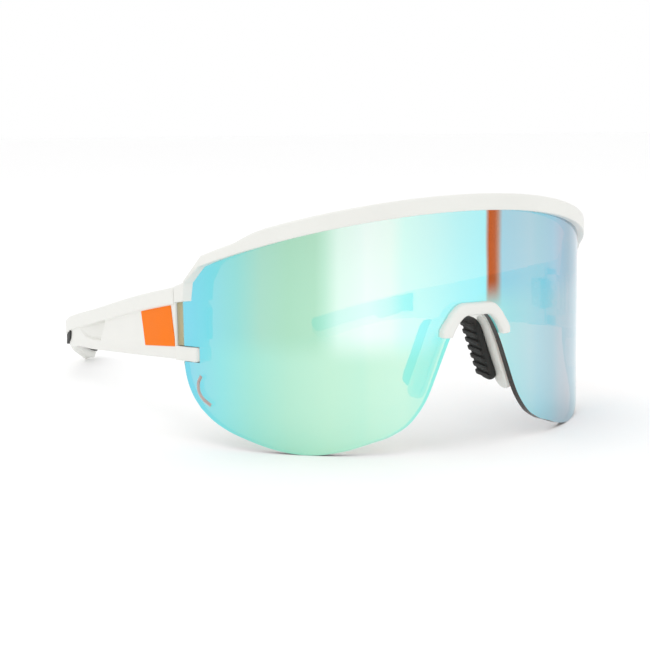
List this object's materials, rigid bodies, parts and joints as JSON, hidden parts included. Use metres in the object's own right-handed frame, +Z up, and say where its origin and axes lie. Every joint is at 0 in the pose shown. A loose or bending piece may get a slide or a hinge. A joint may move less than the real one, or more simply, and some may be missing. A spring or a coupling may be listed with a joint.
{
  "type": "sunglasses",
  "caption": "Wraparound sport sunglasses with one mirrored shield lens, a white brow frame, a clip-on nose bridge and folding temples.",
  "frame": {"origin": "middle of the bounding box's bottom face, on the surface that the lens lobes and the temple tips stand on", "axes": "+X to the wearer's left, +Y from the lens towards the wearer's ears, +Z up"},
  "size_m": [0.144, 0.195, 0.0718],
  "materials": {
    "lens_polycarbonate": "moulded, amber-brown with a green-blue mirror coating",
    "frame_nylon": "moulded white, satin",
    "bridge_nylon": "moulded white, satin",
    "nose_rubber": "moulded black, ribbed",
    "grip_rubber": "moulded black",
    "badge_lacquer": "orange, satin",
    "hinge_steel": "brushed stainless steel",
    "washer_nylon": "natural nylon"
  },
  "bodies": {
    "front": {"brow_frame": "frame_nylon", "hinge_front_leaf_left": "hinge_steel", "hinge_front_leaf_right": "hinge_steel", "hinge_front_rivets_left": "hinge_steel", "hinge_front_rivets_right": "hinge_steel", "hinge_screw_left": "hinge_steel", "hinge_screw_right": "hinge_steel", "hinge_washers_left": "washer_nylon", "hinge_washers_right": "washer_nylon", "lens": "lens_polycarbonate", "nose_bridge": "bridge_nylon", "nose_pad_left": "nose_rubber", "nose_pad_right": "nose_rubber"},
    "temple_right": {"ear_grip_right": "grip_rubber", "hinge_temple_leaf_right": "hinge_steel", "hinge_temple_rivets_right": "hinge_steel", "temple_arm_right": "frame_nylon", "temple_badge_right": "badge_lacquer"},
    "temple_left": {"ear_grip_left": "grip_rubber", "hinge_temple_leaf_left": "hinge_steel", "hinge_temple_rivets_left": "hinge_steel", "temple_arm_left": "frame_nylon", "temple_badge_left": "badge_lacquer"}
  },
  "joints": [
    {"name": "temple_fold_left", "type": "hinge", "parent": "front", "child": "temple_left", "pos_m": [0.0606, -0.04615, 0.03426], "axis": [-0.0349, 0.0268, 0.999], "range_deg": [0, 87]},
    {"name": "temple_fold_right", "type": "hinge", "parent": "front", "child": "temple_right", "pos_m": [-0.0606, -0.04615, 0.03426], "axis": [-0.0349, -0.0268, -0.999], "range_deg": [0, 63]}
  ]
}
